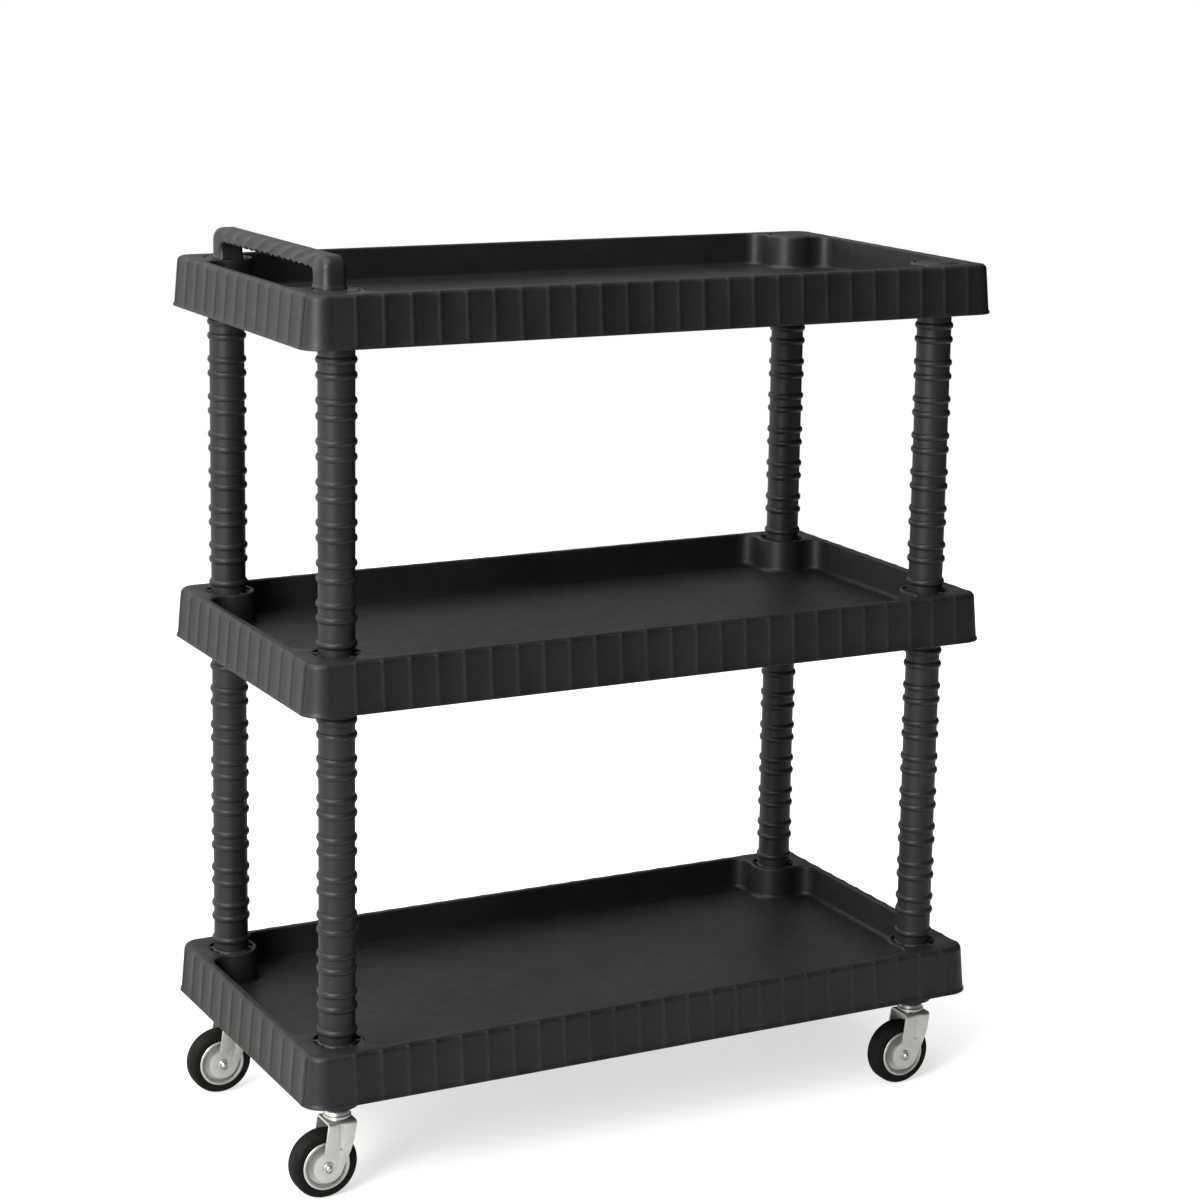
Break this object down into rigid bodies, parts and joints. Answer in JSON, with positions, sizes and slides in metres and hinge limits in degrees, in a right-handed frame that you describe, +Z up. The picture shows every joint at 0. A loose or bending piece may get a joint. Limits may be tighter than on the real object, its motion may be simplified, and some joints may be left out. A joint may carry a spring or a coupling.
{
  "type": "tool cart",
  "caption": "Three-shelf resin utility tool cart with deep tray shelves, ribbed corner posts, a push handle and swivel casters.",
  "frame": {"origin": "on the floor below the centre of the cart's outline (trays plus trailing wheels)", "axes": "+Z up; +X along the trays away from the push handle; -Y is the long side facing the user"},
  "size_m": [0.903, 0.453, 1.089],
  "materials": {
    "tray_resin": "fine satin grain of structural-foam moulding",
    "post_resin": "satin, slightly smoother than the trays",
    "handle_resin": "satin, polished a little by hands",
    "zinc_plate": "pressed sheet with bright zinc plating",
    "bright_steel": "plated hardware",
    "nylon": "plain moulded nylon",
    "tyre_rubber": "solid black rubber, dusty tread"
  },
  "bodies": {
    "cart_frame": {"bottom_tray": "tray_resin", "middle_tray": "tray_resin", "top_tray": "tray_resin", "lower_post_front_left": "post_resin", "lower_post_front_right": "post_resin", "lower_post_back_left": "post_resin", "lower_post_back_right": "post_resin", "upper_post_front_left": "post_resin", "upper_post_front_right": "post_resin", "upper_post_back_left": "post_resin", "upper_post_back_right": "post_resin", "corner_cap_front_right": "tray_resin", "corner_cap_back_right": "tray_resin", "push_handle": "handle_resin", "caster_insert_front_left": "nylon", "caster_stem_front_left": "bright_steel", "upper_race_front_left": "zinc_plate", "caster_insert_front_right": "nylon", "caster_stem_front_right": "bright_steel", "upper_race_front_right": "zinc_plate", "caster_insert_back_left": "nylon", "caster_stem_back_left": "bright_steel", "upper_race_back_left": "zinc_plate", "caster_insert_back_right": "nylon", "caster_stem_back_right": "bright_steel", "upper_race_back_right": "zinc_plate"},
    "caster_swivel_front_left": {"ball_ring_front_left": "bright_steel", "caster_fork_front_left": "zinc_plate", "axle_bolt_front_left": "bright_steel", "axle_nut_front_left": "bright_steel", "axle_sleeve_front_left": "bright_steel"},
    "caster_wheel_front_left": {"wheel_half_near_front_left": "zinc_plate", "wheel_half_far_front_left": "zinc_plate", "tyre_front_left": "tyre_rubber"},
    "caster_swivel_front_right": {"ball_ring_front_right": "bright_steel", "caster_fork_front_right": "zinc_plate", "axle_bolt_front_right": "bright_steel", "axle_nut_front_right": "bright_steel", "axle_sleeve_front_right": "bright_steel"},
    "caster_wheel_front_right": {"wheel_half_near_front_right": "zinc_plate", "wheel_half_far_front_right": "zinc_plate", "tyre_front_right": "tyre_rubber"},
    "caster_swivel_back_left": {"ball_ring_back_left": "bright_steel", "caster_fork_back_left": "zinc_plate", "axle_bolt_back_left": "bright_steel", "axle_nut_back_left": "bright_steel", "axle_sleeve_back_left": "bright_steel"},
    "caster_wheel_back_left": {"wheel_half_near_back_left": "zinc_plate", "wheel_half_far_back_left": "zinc_plate", "tyre_back_left": "tyre_rubber"},
    "caster_swivel_back_right": {"ball_ring_back_right": "bright_steel", "caster_fork_back_right": "zinc_plate", "axle_bolt_back_right": "bright_steel", "axle_nut_back_right": "bright_steel", "axle_sleeve_back_right": "bright_steel"},
    "caster_wheel_back_right": {"wheel_half_near_back_right": "zinc_plate", "wheel_half_far_back_right": "zinc_plate", "tyre_back_right": "tyre_rubber"}
  },
  "joints": [
    {"name": "swivel_front_left", "type": "hinge", "parent": "cart_frame", "child": "caster_swivel_front_left", "pos_m": [-0.3935, -0.172, 0], "axis": [0, 0, 1], "continuous": true},
    {"name": "roll_front_left", "type": "hinge", "parent": "caster_swivel_front_left", "child": "caster_wheel_front_left", "pos_m": [-0.4115, -0.172, 0.04], "axis": [0, 1, 0], "continuous": true},
    {"name": "swivel_front_right", "type": "hinge", "parent": "cart_frame", "child": "caster_swivel_front_right", "pos_m": [0.3965, -0.172, 0], "axis": [0, 0, 1], "continuous": true},
    {"name": "roll_front_right", "type": "hinge", "parent": "caster_swivel_front_right", "child": "caster_wheel_front_right", "pos_m": [0.3785, -0.172, 0.04], "axis": [0, 1, 0], "continuous": true},
    {"name": "swivel_back_left", "type": "hinge", "parent": "cart_frame", "child": "caster_swivel_back_left", "pos_m": [-0.3935, 0.172, 0], "axis": [0, 0, 1], "continuous": true},
    {"name": "roll_back_left", "type": "hinge", "parent": "caster_swivel_back_left", "child": "caster_wheel_back_left", "pos_m": [-0.4115, 0.172, 0.04], "axis": [0, 1, 0], "continuous": true},
    {"name": "swivel_back_right", "type": "hinge", "parent": "cart_frame", "child": "caster_swivel_back_right", "pos_m": [0.3965, 0.172, 0], "axis": [0, 0, 1], "continuous": true},
    {"name": "roll_back_right", "type": "hinge", "parent": "caster_swivel_back_right", "child": "caster_wheel_back_right", "pos_m": [0.3785, 0.172, 0.04], "axis": [0, 1, 0], "continuous": true}
  ]
}
